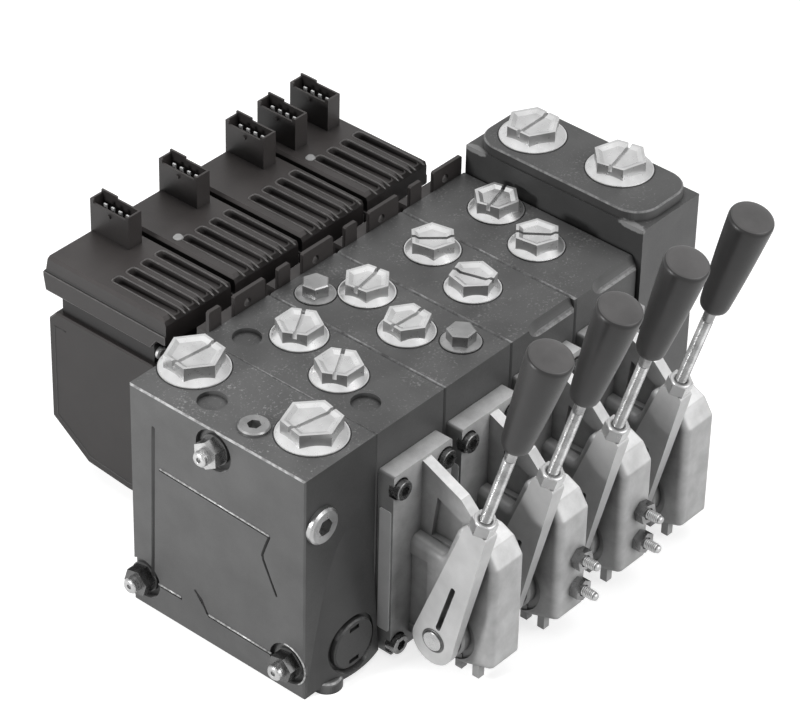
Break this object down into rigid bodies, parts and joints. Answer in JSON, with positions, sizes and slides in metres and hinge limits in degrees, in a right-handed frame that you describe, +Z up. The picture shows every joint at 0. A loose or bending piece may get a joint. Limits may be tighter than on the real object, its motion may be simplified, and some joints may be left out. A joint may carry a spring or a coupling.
{
  "type": "sectional proportional directional valve",
  "caption": "Stack of hydraulic valve sections between an inlet and an end block, each with a hand lever on one side and a finned electrical actuator on the other.",
  "frame": {"origin": "centre of the four base mounting holes, in the plane that the feet stand on", "axes": "+X along the stack from the inlet block to the end block, levers on the -Y side, actuators on the +Y side, +Z up"},
  "size_m": [0.3057, 0.3169, 0.2173],
  "materials": {
    "iron": "black painted cast iron",
    "zinc": "bright zinc plated steel",
    "steel": "plain steel",
    "alloy": "cast aluminium, blasted",
    "black_plastic": "moulded, matt",
    "grip": "moulded, satin",
    "lens": "clear, domed",
    "seal": "moulded"
  },
  "bodies": {
    "stack": {"inlet_block": "iron", "end_block": "iron", "tie_rods": "steel", "tie_rod_nuts": "steel", "tie_rod_washers": "steel", "section_seals": "seal", "inlet_port_plugs": "zinc", "work_port_plugs": "zinc", "end_port_plugs": "zinc", "shock_valve_plugs": "zinc", "socket_plugs": "steel", "relief_valve_plug": "iron", "lever_housing_screws": "steel", "actuator_screws": "steel", "flow_stop_screws": "steel", "flow_stop_nuts": "steel", "centring_springs": "steel", "connector_pins": "zinc", "status_lenses": "lens", "cover_screws": "zinc", "section_block_1": "iron", "lever_housing_1": "alloy", "actuator_housing_1": "black_plastic", "electronics_cover_1": "black_plastic", "section_block_2": "iron", "lever_housing_2": "alloy", "actuator_housing_2": "black_plastic", "electronics_cover_2": "black_plastic", "section_block_3": "iron", "lever_housing_3": "alloy", "actuator_housing_3": "black_plastic", "electronics_cover_3": "black_plastic", "section_block_4": "iron", "lever_housing_4": "alloy", "actuator_housing_4": "black_plastic", "electronics_cover_4": "black_plastic"},
    "lever_1": {"lever_arm_1": "alloy", "lever_rod_1": "zinc", "lever_nut_1": "zinc", "lever_grip_1": "grip", "lever_crank_1": "steel"},
    "spool_unit_1": {"spool_1": "steel"},
    "lever_2": {"lever_arm_2": "alloy", "lever_rod_2": "zinc", "lever_nut_2": "zinc", "lever_grip_2": "grip", "lever_crank_2": "steel"},
    "spool_unit_2": {"spool_2": "steel"},
    "lever_3": {"lever_arm_3": "alloy", "lever_rod_3": "zinc", "lever_nut_3": "zinc", "lever_grip_3": "grip", "lever_crank_3": "steel"},
    "spool_unit_3": {"spool_3": "steel"},
    "lever_4": {"lever_arm_4": "alloy", "lever_rod_4": "zinc", "lever_nut_4": "zinc", "lever_grip_4": "grip", "lever_crank_4": "steel"},
    "spool_unit_4": {"spool_4": "steel"}
  },
  "joints": [
    {"name": "lever_1_hinge", "type": "hinge", "parent": "stack", "child": "lever_1", "pos_m": [-0.0705, -0.089, 0.0235], "axis": [1, 0, 0], "range_deg": [-19.5, 19.5], "stiffness_Nm_per_rad": 7.35, "springref_deg": -0.34},
    {"name": "spool_1_slide", "type": "slide", "parent": "stack", "child": "spool_unit_1", "axis": [0, 1, 0], "range_m": [-0.007, 0.007], "deforming": ["centring_springs"]},
    {"name": "lever_2_hinge", "type": "hinge", "parent": "stack", "child": "lever_2", "pos_m": [-0.0225, -0.089, 0.0235], "axis": [1, 0, 0], "range_deg": [-19.5, 19.5], "stiffness_Nm_per_rad": 7.35, "springref_deg": -0.34},
    {"name": "spool_2_slide", "type": "slide", "parent": "stack", "child": "spool_unit_2", "axis": [0, 1, 0], "range_m": [-0.007, 0.007], "deforming": ["centring_springs"]},
    {"name": "lever_3_hinge", "type": "hinge", "parent": "stack", "child": "lever_3", "pos_m": [0.0255, -0.089, 0.0235], "axis": [1, 0, 0], "range_deg": [-19.5, 19.5], "stiffness_Nm_per_rad": 7.35, "springref_deg": -0.34},
    {"name": "spool_3_slide", "type": "slide", "parent": "stack", "child": "spool_unit_3", "axis": [0, 1, 0], "range_m": [-0.007, 0.007], "deforming": ["centring_springs"]},
    {"name": "lever_4_hinge", "type": "hinge", "parent": "stack", "child": "lever_4", "pos_m": [0.0735, -0.089, 0.0235], "axis": [1, 0, 0], "range_deg": [-19.5, 19.5], "stiffness_Nm_per_rad": 7.35, "springref_deg": -0.34},
    {"name": "spool_4_slide", "type": "slide", "parent": "stack", "child": "spool_unit_4", "axis": [0, 1, 0], "range_m": [-0.007, 0.007], "deforming": ["centring_springs"]}
  ],
  "couplings": [
    {"joint": "spool_1_slide", "follows": "lever_1_hinge", "m_per_rad": -0.02056},
    {"joint": "spool_2_slide", "follows": "lever_2_hinge", "m_per_rad": -0.02056},
    {"joint": "spool_3_slide", "follows": "lever_3_hinge", "m_per_rad": -0.02056},
    {"joint": "spool_4_slide", "follows": "lever_4_hinge", "m_per_rad": -0.02056}
  ]
}
